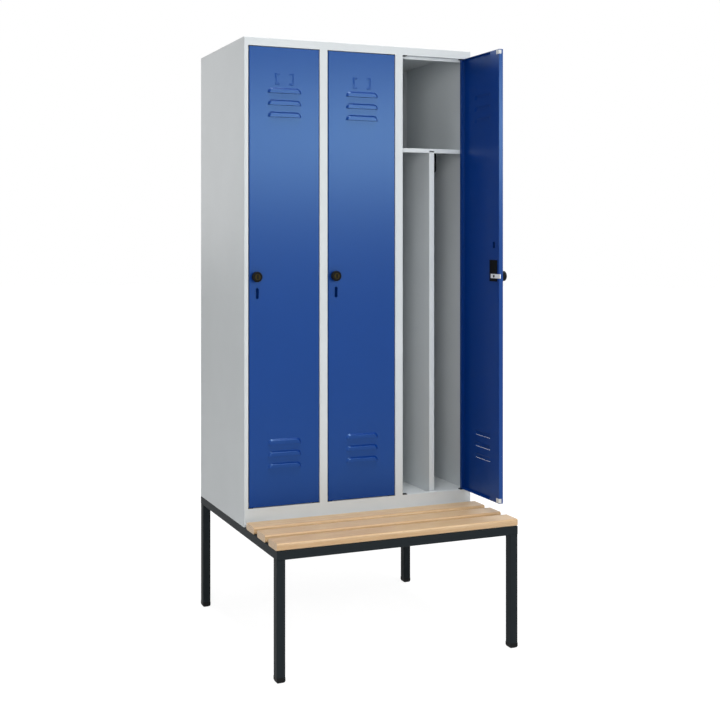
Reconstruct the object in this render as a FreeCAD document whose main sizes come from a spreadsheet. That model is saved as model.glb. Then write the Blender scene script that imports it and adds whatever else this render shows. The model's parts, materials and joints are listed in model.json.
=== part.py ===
import FreeCAD, Part

import math
import os

import Sketcher

# Clothes locker with three compartments on a bench frame.
# Millimetres, +X to the right, +Y to the back, +Z up, origin on the floor under the middle of the footprint.
# The pieces are laid out from the left of the cabinet (x), from its front face (y) and from the floor (z).

COMPARTMENTS = 3
OPEN_DOOR = 2
CORNER_FACETS = 3

SIZES = {
    # cabinet
    "cabinet_width": 900,
    "cabinet_depth": 500,
    "cabinet_height": 1700,
    "sheet": 1,
    "bend": 2,
    "stile_width": 15,
    "stile_depth": 17.5,
    "rear_wrap": 72,
    "foot_flange": 26,
    "top_rail": 29,
    "rail_depth": 20,
    "stop_lip": 10.5,
    "rear_flange": 20,
    "sill_height": 63,
    "sill_return": 25,
    "floor_drop": 7,
    "seam": 0.2,
    # hat shelf, middle partition and coat hooks
    "shelf_drop": 366.5,
    "shelf_setback": 25,
    "shelf_flange": 15,
    "shelf_return": 12,
    "slit_height": 5,
    "slit_drop": 7.5,
    "partition_flange": 21,
    "partition_return": 15,
    "hook_setback": 141,
    "hook_width": 14,
    "hook_drop": 78,
    "hook_stem": 8,
    "hook_mouth": 20,
    "hook_lip": 26,
    "hook_plate_depth": 40,
    "hook_plate": 3,
    "hook_ease": 7,
    # doors
    "door_depth": 17,
    "door_gap": 3,
    "lock_gap": 4,
    "hinge_gap": 2.5,
    "lock_lip": 57,
    "hinge_lip": 14,
    "open_angle": 90,
    "pivot_inset": 8,
    "pivot_depth": 6,
    "pin_radius": 3,
    "pin_fit": 0.05,
    "pin_reach": 6,
    "bush_boss": 9,
    "boss_length": 5,
    "pad_clearance": 0.3,
    "pad_depth": 15,
    "bush_pad": 17,
    "glide_width": 19,
    "cap_width": 15,
    "cap_height": 14,
    "cap_wrap": 9,
    "cap_wall": 1.5,
    "cap_pad": 2.5,
    "cap_inset": 3,
    # pressed louvres and card holder
    "louvre_width": 125,
    "louvre_height": 18,
    "louvre_depth": 7,
    "louvre_crest": 13,
    "louvre_draft": 7,
    "louvre_corner": 16,
    "louvre_crest_corner": 11,
    "louvre_pitch": 42,
    "louvre_top": 141,
    "louvre_bottom": 131,
    "card_width": 68,
    "card_height": 38,
    "card_gap": 12,
    "card_bar": 4,
    "card_tab": 12,
    "card_rise": 1,
    # turn lock
    "lock_inset": 24,
    "lock_height": 801,
    "hole_clearance": 1,
    "lock_angle": 90,
    "knob_radius": 20,
    "knob_grip": 14.5,
    "knob_foot": 6,
    "knob_rise": 18.5,
    "knob_clearance": 0.3,
    "core_radius": 11,
    "core_face": 1.5,
    "core_plug": 15,
    "core_depth": 10,
    "key_width": 3,
    "key_length": 12,
    "key_depth": 6,
    "spindle_radius": 6,
    "spindle_square": 7,
    "plate_width": 46,
    "plate_below": 19,
    "plate_above": 57,
    "plate_side": 13,
    "plate_thickness": 3,
    "cam_length": 40,
    "cam_tail": 20,
    "cam_width": 15,
    "cam_thickness": 3,
    "slot_width": 11,
    "slot_length": 38,
    "slot_ease": 3.5,
    "slot_drop": 58,
    "slot_offset": 5.5,
    "notch_width": 14,
    "notch_length": 22,
    "notch_offset": 8,
    "notch_rise": 110,
    # bench
    "bench_reach": 310,
    "frame_height": 425,
    "tube": 30,
    "tube_wall": 2,
    "tube_round": 2.5,
    "foot_height": 19,
    "foot_tread": 16,
    "foot_taper": 8,
    "foot_plug": 14,
    "foot_fit": 0.2,
    "slat_width": 75,
    "slat_thickness": 24,
    "slat_gap": 31,
    "slat_round": 6,
}


class Size:
    """A length with its value and the expression that binds it to the sheet."""

    def __init__(self, value, text):
        self.value = float(value)
        self.text = text

    @staticmethod
    def of(other):
        return other if isinstance(other, Size) else Size(other, repr(float(other)))

    def __add__(self, other):
        other = Size.of(other)
        return Size(self.value + other.value, f"({self.text} + {other.text})")

    def __sub__(self, other):
        other = Size.of(other)
        return Size(self.value - other.value, f"({self.text} - {other.text})")

    def __mul__(self, other):
        other = Size.of(other)
        return Size(self.value * other.value, f"({self.text} * {other.text})")

    def __truediv__(self, other):
        other = Size.of(other)
        return Size(self.value / other.value, f"({self.text} / {other.text})")

    def __neg__(self):
        return Size(-self.value, f"(0 - {self.text})")

    def __radd__(self, other):
        return Size.of(other) + self

    def __rsub__(self, other):
        return Size.of(other) - self

    def __rmul__(self, other):
        return Size.of(other) * self


def cosine(angle):
    return Size(math.cos(math.radians(angle.value)), f"cos({angle.text})")


def sine(angle):
    return Size(math.sin(math.radians(angle.value)), f"sin({angle.text})")


doc = FreeCAD.newDocument("ClothesLocker")
sheet = doc.addObject("Spreadsheet::Sheet", "Sizes")
for row, (name, value) in enumerate(SIZES.items(), start=1):
    sheet.set(f"A{row}", name)
    sheet.set(f"B{row}", str(value))
    sheet.setAlias(f"B{row}", name)
doc.recompute()


def size(name):
    return Size(sheet.get(name), f"Sizes.{name}")


class Piece:
    """One sub-part: a body drawn in its own frame from sketches on the body's planes."""

    NORMALS = {"XY": 1, "XZ": -1, "YZ": 1}
    made = []

    def __init__(self, label):
        self.body = doc.addObject("PartDesign::Body", label)
        self.body.Label = label
        self.count = 0
        Piece.made.append(self)

    def origin(self, role):
        return next(f for f in self.body.Origin.OriginFeatures if f.Role == role)

    def name(self, kind):
        self.count += 1
        return f"{self.body.Name}_{kind}{self.count}"

    def sketch(self, plane, loops, at=0):
        """A sketch on one of the body's planes, moved to `at` along the plane's axis."""
        sketch = self.body.newObject("Sketcher::SketchObject", self.name("Sketch"))
        sketch.AttachmentSupport = [(self.origin(f"{plane}_Plane"), "")]
        sketch.MapMode = "FlatFace"
        offset = Size.of(at) * Piece.NORMALS[plane]
        sketch.setExpression("AttachmentOffset.Base.z", offset.text)
        for loop in loops:
            if isinstance(loop, Circle):
                loop.draw(sketch)
            else:
                draw_loop(sketch, loop)
        return sketch

    def feature(self, kind, sketch):
        feature = self.body.newObject(f"PartDesign::{kind}", self.name(kind))
        feature.Profile = sketch
        return feature

    def pad(self, plane, loops, length, at=0, way=1):
        """Material from the sketch along the plane's positive (way 1) or negative (way -1) axis."""
        pad = self.feature("Pad", self.sketch(plane, loops, at))
        pad.setExpression("Length", Size.of(length).text)
        pad.Reversed = Piece.NORMALS[plane] != way
        return pad

    def pocket(self, plane, loops, length, at=0, way=1):
        """The same sweep, cut away."""
        pocket = self.feature("Pocket", self.sketch(plane, loops, at))
        pocket.setExpression("Length", Size.of(length).text)
        pocket.Reversed = Piece.NORMALS[plane] == way
        return pocket

    def loft(self, kind, plane, sections):
        """A straight-sided loft through (loop, place) sections: kind is Additive or Subtractive."""
        first, *others = [self.sketch(plane, [loop], at) for loop, at in sections]
        loft = self.feature(f"{kind}Loft", first)
        loft.Sections = others
        loft.Ruled = True
        return loft

    def turn(self, plane, loop):
        """A solid of revolution about the sketch's upright axis."""
        sketch = self.sketch(plane, [loop])
        turn = self.feature("Revolution", sketch)
        turn.ReferenceAxis = (sketch, ["V_Axis"])
        turn.Angle = 360
        return turn

    def repeat(self, features, steps):
        """Copies along the body's axes, one (axis, step, count) after another."""
        multi = self.body.newObject("PartDesign::MultiTransform", self.name("Multi"))
        multi.Originals = features
        rows = []
        for axis, step, count in steps:
            row = self.body.newObject("PartDesign::LinearPattern", self.name("Row"))
            row.Direction = (self.origin(f"{axis}_Axis"), [""])
            row.setExpression("Length", (Size.of(step) * (count - 1)).text)
            row.Occurrences = count
            rows.append(row)
        multi.Transformations = rows
        self.body.Tip = multi
        return multi

    def place(self, x, y, z, angle=None):
        """Puts the piece at a place counted from the cabinet's left, its front and the floor."""
        middle = -cabinet_width / 2
        front = (bench_reach - cabinet_depth) / 2
        for axis, value in (("x", middle + x), ("y", front + y), ("z", Size.of(z))):
            self.body.setExpression(f"Placement.Base.{axis}", value.text)
        if angle is not None:
            self.body.setExpression("Placement.Rotation.Angle", angle.text)
        return self


class Circle:
    """A round loop."""

    def __init__(self, x, y, radius):
        self.centre = (Size.of(x), Size.of(y))
        self.radius = Size.of(radius)

    def draw(self, sketch):
        x, y = self.centre
        middle = FreeCAD.Vector(x.value, y.value, 0)
        circle = Part.Circle(middle, FreeCAD.Vector(0, 0, 1), self.radius.value)
        edge = sketch.addGeometry(circle)
        fix_point(sketch, edge, 3, self.centre)
        bind(sketch, Sketcher.Constraint("Radius", edge, self.radius.value), self.radius)


def bind(sketch, constraint, value):
    index = sketch.addConstraint(constraint)
    sketch.setExpression(f"Constraints[{index}]", value.text)


def fix_point(sketch, edge, end, point):
    for kind, value in zip(("DistanceX", "DistanceY"), point):
        bind(sketch, Sketcher.Constraint(kind, -1, 1, edge, end, value.value), value)


def toward(start, end, reach):
    """The point at `reach` from start on the way to end; both lie on one upright or level line."""
    x, y = start
    across, up = end[0].value - x.value, end[1].value - y.value
    if abs(across) > abs(up):
        return x + reach * math.copysign(1, across), y
    return x, y + reach * math.copysign(1, up)


def draw_loop(sketch, corners):
    """A closed outline; a third value in a corner of two level or upright edges rounds it."""
    points = [(Size.of(c[0]), Size.of(c[1])) for c in corners]
    ends = []
    for i, corner in enumerate(corners):
        if len(corner) == 2:
            ends.append((points[i], points[i]))
        else:
            radius = Size.of(corner[2])
            following = points[(i + 1) % len(points)]
            ends.append((toward(points[i], points[i - 1], radius), toward(points[i], following, radius)))
    first = previous = None
    for i, corner in enumerate(corners):
        if len(corner) == 3:
            arc = rounding(sketch, ends[i], points[i], Size.of(corner[2]))
            if previous is not None:
                sketch.addConstraint(Sketcher.Constraint("Coincident", previous[0], previous[1], *arc[0]))
            first = first or arc[0]
            previous = arc[1]
        start, end = ends[i][1], ends[(i + 1) % len(ends)][0]
        line = sketch.addGeometry(Part.LineSegment(vector(start), vector(end)))
        fix_point(sketch, line, 1, start)
        if len(corners[(i + 1) % len(corners)]) == 3:
            fix_point(sketch, line, 2, end)
        if previous is not None:
            sketch.addConstraint(Sketcher.Constraint("Coincident", previous[0], previous[1], line, 1))
        first = first or (line, 1)
        previous = (line, 2)
    sketch.addConstraint(Sketcher.Constraint("Coincident", previous[0], previous[1], *first))


def vector(point):
    return FreeCAD.Vector(point[0].value, point[1].value, 0)


def rounding(sketch, ends, corner, radius):
    """A quarter arc in a corner. Gives its two ends in the order of the outline."""
    start, end = vector(ends[0]), vector(ends[1])
    centre = start + end - vector(corner)
    from_angle = math.atan2(start.y - centre.y, start.x - centre.x)
    to_angle = math.atan2(end.y - centre.y, end.x - centre.x)
    turn = (to_angle - from_angle) % (2 * math.pi)
    backwards = turn > math.pi
    if backwards:
        from_angle, to_angle = to_angle, from_angle
    circle = Part.Circle(centre, FreeCAD.Vector(0, 0, 1), radius.value)
    edge = sketch.addGeometry(Part.ArcOfCircle(circle, from_angle, to_angle))
    bind(sketch, Sketcher.Constraint("Radius", edge, radius.value), radius)
    return ((edge, 2), (edge, 1)) if backwards else ((edge, 1), (edge, 2))


def rectangle(left, low, right, high, radius=None):
    corners = [(left, low), (right, low), (right, high), (left, high)]
    if radius is None:
        return corners
    return [corner + (radius,) for corner in corners]


cabinet_width = size("cabinet_width")
cabinet_depth = size("cabinet_depth")
cabinet_height = size("cabinet_height")
thick = size("sheet")
bend = size("bend")
seam = size("seam")
stile_width = size("stile_width")
stile_depth = size("stile_depth")
rail_depth = size("rail_depth")
top_rail = size("top_rail")
sill_height = size("sill_height")
bench_reach = size("bench_reach")
frame_height = size("frame_height")
tube = size("tube")

pitch = cabinet_width / COMPARTMENTS
cabinet_top = frame_height + cabinet_height
floor_rise = sill_height - size("floor_drop")
rear_inside = cabinet_depth - thick
shelf_level = cabinet_height - size("shelf_drop")
shelf_setback = size("shelf_setback")

door_depth = size("door_depth")
door_gap = size("door_gap")
pivot_inset = size("pivot_inset")
pivot_depth = size("pivot_depth")
door_width = pitch - stile_width * 2 - size("lock_gap") - size("hinge_gap")
door_height = cabinet_height - top_rail - sill_height - door_gap * 2
free_edge = pivot_inset - door_width
door_front = -pivot_depth
door_back = door_depth - pivot_depth
pivot_in_pitch = pitch - stile_width - size("hinge_gap") - pivot_inset
pad_thickness = door_gap - size("pad_clearance")


def side_wall(label, side, x):
    """Side panel folded into the front stile, with a foot flange that stands on the bench."""
    wall = Piece(label)
    rear = cabinet_depth - size("rear_wrap")
    section = [
        (0, 0, bend),
        (side * stile_width, 0),
        (side * stile_width, stile_depth),
        (side * (stile_width - thick), stile_depth),
        (side * (stile_width - thick), thick),
        (side * thick, thick),
        (side * thick, rear),
        (0, rear),
    ]
    wall.pad("XY", [section], cabinet_height)
    for low, high in ((0, sill_height), (cabinet_height - top_rail, cabinet_height)):
        notch = rectangle(side * thick, low, side * (stile_width + thick), high)
        wall.pocket("XZ", [notch], stile_depth + thick)
    flange = size("foot_flange")
    start = size("sill_return") + seam
    wall.pad("XY", [rectangle(side * thick / 2, start, side * flange, rear)], thick)
    return wall.place(x, 0, frame_height)


def back_wall():
    """Back panel that wraps round both rear corners."""
    wall = Piece("back_wall")
    start = cabinet_depth - size("rear_wrap")
    right = cabinet_width - thick
    section = [
        (0, start),
        (0, cabinet_depth, bend),
        (cabinet_width, cabinet_depth, bend),
        (cabinet_width, start),
        (right, start),
        (right, rear_inside),
        (thick, rear_inside),
        (thick, start),
    ]
    wall.pad("XY", [section], cabinet_height)
    return wall.place(0, 0, frame_height)


def centred(x, y, width):
    """A square of the given width about a point."""
    return upright(x, y, width, width)


def upright(x, y, width, height):
    """A rectangle about a point."""
    return rectangle(x - width / 2, y - height / 2, x + width / 2, y + height / 2)


def eased(x, y, width, height, cut):
    """A rectangle about a point with its four corners cut off."""
    left, right = x - width / 2, x + width / 2
    low, high = y - height / 2, y + height / 2
    return [
        (left + cut, low),
        (right - cut, low),
        (right, low + cut),
        (right, high - cut),
        (right - cut, high),
        (left + cut, high),
        (left, high - cut),
        (left, low + cut),
    ]


def bush_cutouts(first):
    """Square cut-outs in a folded rail, one at each pivot, for the bosses of the bushes."""
    width = size("bush_boss") + seam * 2
    return [centred(first + pitch * i, pivot_depth, width) for i in range(COMPARTMENTS)]


def roof():
    """Roof folded down into the top rail, its return and the stop lip behind the doors."""
    panel = Piece("roof")
    lip = size("stop_lip")
    flange = size("rear_flange")
    section = [
        (0, 0, bend),
        (0, -top_rail),
        (rail_depth, -top_rail),
        (rail_depth, -top_rail - lip),
        (rail_depth + thick, -top_rail - lip),
        (rail_depth + thick, thick - top_rail),
        (thick, thick - top_rail),
        (thick, -thick),
        (rear_inside - thick, -thick),
        (rear_inside - thick, -flange),
        (rear_inside, -flange),
        (rear_inside, 0),
    ]
    panel.pad("YZ", [section], cabinet_width - thick * 2)
    panel.pocket("XY", bush_cutouts(pivot_in_pitch - thick), thick, at=-top_rail)
    return panel.place(thick, 0, cabinet_top)


def floor():
    """Floor with the sill folded down in front of it and turned under on the bench."""
    panel = Piece("floor")
    flange = size("rear_flange")
    section = [
        (size("sill_return"), 0),
        (0, 0, bend),
        (0, sill_height),
        (rail_depth, sill_height),
        (rail_depth, floor_rise),
        (rear_inside, floor_rise),
        (rear_inside, floor_rise - flange),
        (rear_inside - thick, floor_rise - flange),
        (rear_inside - thick, floor_rise - thick),
        (rail_depth - thick, floor_rise - thick),
        (rail_depth - thick, sill_height - thick),
        (thick, sill_height - thick),
        (thick, thick),
        (size("sill_return"), thick),
    ]
    panel.pad("YZ", [section], cabinet_width - thick * 2)
    panel.pocket("XY", bush_cutouts(pivot_in_pitch - thick), thick, at=sill_height, way=-1)
    return panel.place(thick, 0, frame_height)


def divider(number):
    """Wall between two compartments with the stile that both doors close against."""
    wall = Piece(f"divider_{number}")
    opening_top = cabinet_height - top_rail
    stile = [
        (-stile_width, 0),
        (stile_width, 0),
        (stile_width, stile_depth),
        (stile_width - thick, stile_depth),
        (stile_width - thick, thick),
        (thick - stile_width, thick),
        (thick - stile_width, stile_depth),
        (-stile_width, stile_depth),
    ]
    wall.pad("XY", [stile], opening_top - sill_height, at=sill_height)
    under_lip = opening_top - size("stop_lip") - seam
    behind_lip = rail_depth + thick + seam
    rear = rear_inside - thick
    web = [
        (thick, sill_height),
        (thick, under_lip),
        (behind_lip, under_lip),
        (behind_lip, cabinet_height - thick),
        (rear, cabinet_height - thick),
        (rear, floor_rise),
        (rail_depth, floor_rise),
        (rail_depth, sill_height),
    ]
    wall.pad("YZ", [web], thick, at=-thick / 2)
    return wall.place(pitch * number, 0, frame_height)


def wall_faces(number):
    """Left and right faces of a compartment, counted from its own left boundary."""
    left = thick if number == 0 else thick / 2
    right = pitch - (thick if number == COMPARTMENTS - 1 else thick / 2)
    return left + seam, right - seam


def hat_shelf(number):
    """Shelf with a folded front edge, slit for the tab of the partition below it."""
    shelf = Piece(f"hat_shelf_{number + 1}")
    left, right = wall_faces(number)
    front, drop = shelf_setback, size("shelf_flange")
    back = front + size("shelf_return")
    flange = size("rear_flange")
    rear = rear_inside - seam
    section = [
        (front, 0, bend),
        (front, -drop),
        (back, -drop),
        (back, thick - drop),
        (front + thick, thick - drop),
        (front + thick, -thick),
        (rear - thick, -thick),
        (rear - thick, -flange),
        (rear, -flange),
        (rear, 0),
    ]
    shelf.pad("YZ", [section], right - left)
    middle = pitch / 2 - left
    half = size("partition_flange") / 2
    high = -size("slit_drop")
    slit = rectangle(middle - half, high - size("slit_height"), middle + half, high)
    shelf.pocket("XZ", [slit], thick, at=front)
    return shelf.place(pitch * number + left, 0, frame_height + shelf_level)


def partition(number):
    """Upright sheet below the hat shelf that parts street and work clothes."""
    sheet_wall = Piece(f"partition_{number + 1}")
    half = size("partition_flange") / 2
    front = shelf_setback
    fold = front + size("partition_return")
    behind_return = front + size("shelf_return") + seam
    clear_height = shelf_level - floor_rise
    under_flange = clear_height - size("shelf_flange") - seam
    section = [
        (-half, front, bend),
        (half, front, bend),
        (half, fold),
        (half - thick, fold),
        (half - thick, front + thick),
        (thick - half, front + thick),
        (thick - half, behind_return),
        (-half, behind_return),
    ]
    sheet_wall.pad("XY", [section], under_flange)
    rear = rear_inside - thick - seam * 2
    under_shelf = clear_height - thick - seam
    sheet_wall.pad("YZ", [rectangle(behind_return, 0, rear, under_shelf)], thick, at=-half)
    return sheet_wall.place(pitch * (number + 0.5), 0, frame_height + floor_rise)


def coat_hooks(number):
    """Two moulded hooks under a hat shelf, one in each half, open towards the back."""
    hooks = Piece(f"coat_hooks_{number + 1}")
    stem, mouth, width = size("hook_stem"), size("hook_mouth"), size("hook_width")
    plate, drop, lip = size("hook_plate"), size("hook_drop"), size("hook_lip")
    reach = size("hook_plate_depth") / 2
    outer = size("hook_ease")
    side = [
        (reach, 0),
        (reach, -plate),
        (stem / 2, -plate),
        (stem / 2, stem - drop),
        (stem / 2 + mouth, stem - drop),
        (stem / 2 + mouth, lip - drop),
        (stem * 1.5 + mouth, lip - drop),
        (stem * 1.5 + mouth, outer - drop),
        (stem * 1.5 + mouth - outer, -drop),
        (outer - stem / 2, -drop),
        (-stem / 2, outer - drop),
        (-stem / 2, -plate),
        (-reach, -plate),
        (-reach, 0),
    ]
    hook = hooks.pad("YZ", [side], width, at=-width / 2)
    hooks.repeat([hook], [("X", pitch / 2, 2)])
    x = pitch * (number + 0.25)
    return hooks.place(x, size("hook_setback"), frame_height + shelf_level - thick)


def pivot_bushes(label, way, z):
    """Bushes in which the pivot pins turn: a pad in the door gap and a square boss in the rail."""
    bushes = Piece(label)
    near = thick - pivot_depth
    pad = rectangle(-size("bush_pad"), near, pivot_inset + size("hinge_gap") - seam, near + size("pad_depth"))
    bore = Circle(0, 0, size("pin_radius") + size("pin_fit"))
    flange = bushes.pad("XY", [pad, bore], pad_thickness, way=way)
    middle = Size.of(0)
    boss = bushes.pad("XY", [centred(middle, middle, size("bush_boss")), bore], size("boss_length"), way=-way)
    bushes.repeat([flange, boss], [("X", pitch, COMPARTMENTS)])
    return bushes.place(pivot_in_pitch, pivot_depth, z)


def glide_pads():
    """Flat pads that guide the free corners of the doors, on the sill and under the top rail."""
    pads = Piece("glide_pads")
    outline = rectangle(0, 0, size("glide_width"), size("pad_depth"))
    pad = pads.pad("XY", [outline], pad_thickness)
    rise = cabinet_height - top_rail - sill_height - pad_thickness
    pads.repeat([pad], [("X", pitch, COMPARTMENTS), ("Z", rise, 2)])
    return pads.place(stile_width + seam, thick, frame_height + sill_height)


def tube_section():
    wall = size("tube_wall")
    outer = rectangle(0, 0, tube, tube, size("tube_round"))
    inner = rectangle(wall, wall, tube - wall, tube - wall)
    return [outer, inner]


def leg(label, x, y):
    post = Piece(label)
    post.pad("XY", tube_section(), frame_height - tube - size("foot_height"))
    return post.place(x, y, size("foot_height"))


def foot(label, x, y):
    """Moulded cap with a rounded-off tread and a plug that fits inside the leg."""
    cap = Piece(label)
    tall, taper = size("foot_height"), size("foot_taper")
    inset = (tube - size("foot_tread")) / 2
    waist, knee = inset / 3, taper / 3
    side = [
        (inset, 0),
        (tube - inset, 0),
        (tube - waist, knee),
        (tube, taper),
        (tube, tall),
        (0, tall),
        (0, taper),
        (waist, knee),
    ]
    cap.pad("XZ", [side], tube)
    front = [(0, 0), (inset, 0), (waist, knee), (0, taper)]
    rear = [(tube - y, z) for y, z in front]
    cap.pocket("YZ", [front, rear], tube)
    wall = size("tube_wall") + size("foot_fit")
    cap.pad("XY", [rectangle(wall, wall, tube - wall, tube - wall)], size("foot_plug"), at=tall)
    return cap.place(x, y, 0)


def slat_front_edges():
    step = size("slat_width") + size("slat_gap")
    return [step * i - bench_reach for i in range(3)]


def side_rail(label, outer, x):
    """Mitred tube from front to back; outer is the local x of its outer face."""
    rail = Piece(label)
    length = cabinet_depth + bench_reach
    rail.pad("XZ", tube_section(), length)
    inner = tube - outer
    front_mitre = [(outer, 0), (inner, 0), (inner, tube)]
    rear_mitre = [(outer, length), (inner, length), (inner, length - tube)]
    rail.pocket("XY", [front_mitre, rear_mitre], tube)
    return rail.place(x, -bench_reach, frame_height - tube)


def end_rail(label, outer, y):
    """Mitred tube from side to side; outer is the local y of its outer face."""
    rail = Piece(label)
    rail.pad("YZ", tube_section(), cabinet_width)
    inner = tube - outer
    left_mitre = [(0, outer), (0, inner), (tube, inner)]
    right_mitre = [(cabinet_width, outer), (cabinet_width, inner), (cabinet_width - tube, inner)]
    rail.pocket("XY", [left_mitre, right_mitre], tube)
    return rail.place(0, y, frame_height - tube)


def cross_rail():
    rail = Piece("cross_rail")
    rail.pad("YZ", tube_section(), cabinet_width - tube * 2)
    return rail.place(tube, 0, frame_height - tube)


def slat(label, y):
    """Beech slat with rounded long edges."""
    board = Piece(label)
    section = rectangle(0, 0, size("slat_width"), size("slat_thickness"), size("slat_round"))
    board.pad("YZ", [section], cabinet_width)
    return board.place(0, y, frame_height)


def hang(piece, number, across=0, up=0, turned=False):
    """Places a piece of a door, drawn from the pivot axis and the door's lower edge."""
    x, y, z = pitch * number + pivot_in_pitch, pivot_depth, frame_height + sill_height + door_gap + up
    across = Size.of(across)
    if number == OPEN_DOOR:
        angle = size("open_angle")
        return piece.place(x + across * cosine(angle), y + across * sine(angle), z, angle)
    piece.place(x + across, y, z)
    if turned:
        piece.body.Placement.Rotation = FreeCAD.Rotation(FreeCAD.Vector(0, 1, 0), -1)
        piece.body.setExpression("Placement.Rotation.Angle", (-size("lock_angle")).text)
    return piece


def louvre_outline(width, low, high, radius, middle):
    """Straight lower edge, and an upper edge whose two corners are cut in short facets."""
    half = width / 2
    outline = [(middle - half, low), (middle + half, low)]
    for step in range(CORNER_FACETS + 1):
        turn = math.pi / 2 * step / CORNER_FACETS
        across, up = 1 - math.cos(turn), 1 - math.sin(turn)
        outline.append((middle + half - radius * across, high - radius * up))
    left = [(middle * 2 - x, y) for x, y in reversed(outline[2:])]
    return outline + left


def press_louvres(door):
    """Hoods pressed out of the door, closed above and at the ends and open along the lower edge."""
    middle = pivot_inset - door_width / 2 + (size("hinge_gap") - size("lock_gap")) / 2
    low = size("louvre_bottom")
    width, height, depth = size("louvre_width"), size("louvre_height"), size("louvre_depth")
    crest, draft = size("louvre_crest"), size("louvre_draft")
    corner, small = size("louvre_corner"), size("louvre_crest_corner")
    crest_width = width - draft * 2
    crest_front = door_front - depth
    foot_loop = louvre_outline(width, low, low + height, corner, middle)
    crest_loop = louvre_outline(crest_width, low, low + crest, small, middle)
    hood = door.loft("Additive", "XZ", [(foot_loop, door_front + thick / 2), (crest_loop, crest_front)])
    foot_loop = louvre_outline(width - thick * 2, low, low + height - thick, corner - thick, middle)
    crest_loop = louvre_outline(crest_width - thick * 2, low, low + crest - thick, small - thick, middle)
    sections = [(foot_loop, door_front + thick), (crest_loop, crest_front + thick)]
    inside = door.loft("Subtractive", "XZ", sections)
    rise = door_height - size("louvre_top") - low - height - size("louvre_pitch") * 2
    door.repeat([hood, inside], [("Z", size("louvre_pitch"), 3), ("Z", rise, 2)])
    return middle


def card_holder(door, middle):
    """Raised guides of the name card holder above the upper louvres, one bracket at each end."""
    low = door_height - size("louvre_top") + size("card_gap")
    high = low + size("card_height")
    half, bar, tab = size("card_width") / 2, size("card_bar"), size("card_tab")
    guides = []
    for way in (-1, 1):
        end, inside, tip = (middle + (half - inset) * way for inset in (Size.of(0), bar, tab))
        guides.append([
            (end, low),
            (tip, low),
            (tip, low + bar),
            (inside, low + bar),
            (inside, high - bar),
            (tip, high - bar),
            (tip, high),
            (end, high),
        ])
    door.pad("XZ", guides, size("card_rise") + thick / 2, at=door_front + thick / 2, way=-1)


lock_axis = free_edge + size("lock_inset")
lock_height = size("lock_height")


def door_panel(number):
    """Door pressed as a tray, with a box fold on the lock side and a lip on the hinge side."""
    door = Piece(f"door_{number + 1}_panel")
    block = [
        (free_edge, door_back),
        (free_edge, door_front, bend),
        (pivot_inset, door_front, bend),
        (pivot_inset, door_back),
    ]
    door.pad("XY", [block], door_height)
    front, back = door_front + thick, door_back - thick
    box_end = free_edge + size("lock_lip")
    box = rectangle(free_edge + thick, front, box_end - thick, back)
    tray = rectangle(box_end, front, pivot_inset - thick, back)
    door.pocket("XY", [box, tray], door_height - thick * 2, at=thick)
    mouth = rectangle(box_end, thick, pivot_inset - size("hinge_lip"), door_height - thick)
    door.pocket("XZ", [mouth], thick * 2, at=door_back, way=-1)
    middle = press_louvres(door)
    card_holder(door, middle)
    spindle_hole = centred(lock_axis, lock_height, (size("spindle_radius") + size("hole_clearance")) * 2)
    door.pocket("XZ", [spindle_hole], door_depth, at=door_front)
    slot_x, slot_z = lock_axis + size("slot_offset"), lock_height - size("slot_drop")
    slot = eased(slot_x, slot_z, size("slot_width"), size("slot_length"), size("slot_ease"))
    door.pocket("XZ", [slot], thick * 2, at=door_front)
    notch_x, notch_z = lock_axis + size("notch_offset"), lock_height + size("notch_rise")
    notch = upright(notch_x, notch_z, size("notch_width"), size("notch_length"))
    door.pocket("XZ", [notch], thick * 2, at=door_back, way=-1)
    return hang(door, number)


def pivot_pins(number):
    """Two pins set on the door's lower and upper edges, which turn in the bushes."""
    pins = Piece(f"door_{number + 1}_pivot_pins")
    reach = size("pin_reach")
    pin = pins.pad("XY", [Circle(0, 0, size("pin_radius"))], reach, way=-1)
    pins.repeat([pin], [("Z", door_height + reach, 2)])
    return hang(pins, number)


def corner_caps(number):
    """White caps round the two free corners of the door, which land on the stop lip."""
    caps = Piece(f"door_{number + 1}_corner_caps")
    wall, landing = size("cap_wall"), size("cap_pad")
    end = free_edge + size("cap_width")
    section = [
        (end, door_back),
        (end, door_back + landing),
        (free_edge - wall, door_back + landing),
        (free_edge - wall, door_back - size("cap_wrap")),
        (free_edge, door_back - size("cap_wrap")),
        (free_edge, door_back),
    ]
    height, inset = size("cap_height"), size("cap_inset")
    cap = caps.pad("XY", [section], height, at=inset)
    caps.repeat([cap], [("Z", door_height - inset * 2 - height, 2)])
    return hang(caps, number)


def lock_plate(number):
    """Bearing plate of the lock on the door's inner lip."""
    plate = Piece(f"door_{number + 1}_lock_plate")
    left = lock_axis - size("plate_side")
    right = left + size("plate_width")
    low, high = lock_height - size("plate_below"), lock_height + size("plate_above")
    bore = Circle(lock_axis, lock_height, size("spindle_radius") + size("pin_fit"))
    plate.pad("XZ", [rectangle(left, low, right, high), bore], size("plate_thickness"), at=door_back)
    return hang(plate, number)


knob_front = door_front - size("knob_clearance") - size("knob_rise")
cam_back = door_back + size("plate_thickness") + size("knob_clearance")


def hang_lock(piece, number):
    return hang(piece, number, across=lock_axis, up=lock_height, turned=True)


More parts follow.
